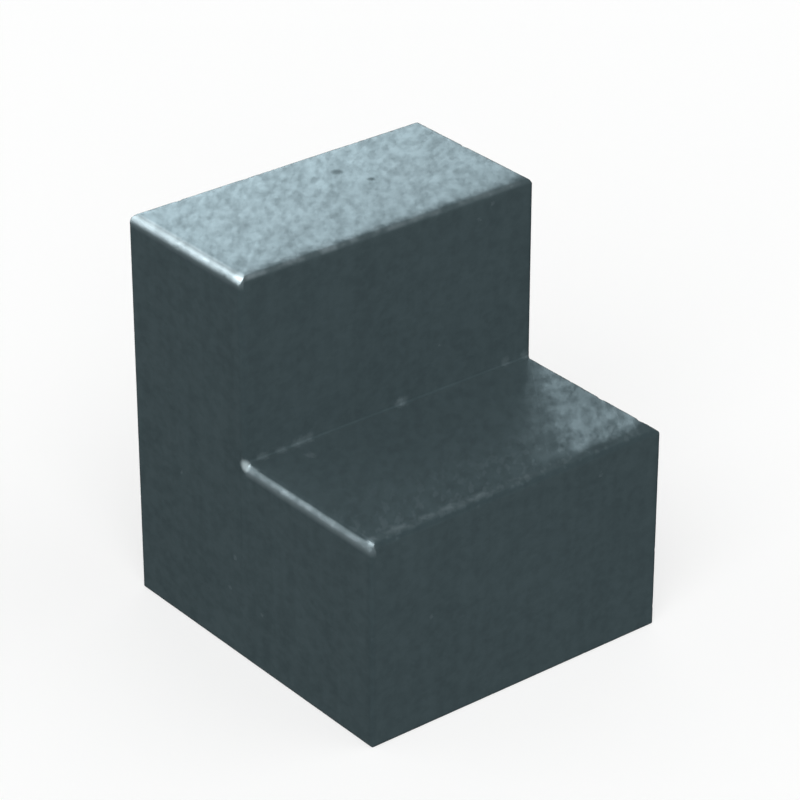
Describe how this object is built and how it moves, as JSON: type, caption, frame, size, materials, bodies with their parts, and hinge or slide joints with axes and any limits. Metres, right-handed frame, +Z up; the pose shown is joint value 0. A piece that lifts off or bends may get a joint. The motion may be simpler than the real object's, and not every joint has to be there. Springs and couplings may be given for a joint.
{
  "type": "granite angle plate",
  "caption": "Block of dark granite with flat lapped faces and rounded arrises: a low step in front of a tall upright, for setting or checking work square.",
  "frame": {"origin": "middle of the footprint, on the base", "axes": "+Z up from the base; +X along the width, so the step's front faces -Y and the upright's back faces +Y"},
  "size_m": [0.15, 0.158, 0.176],
  "materials": {
    "granite": "satin"
  },
  "bodies": {
    "root": {"angle_plate": "granite"}
  },
  "joints": []
}
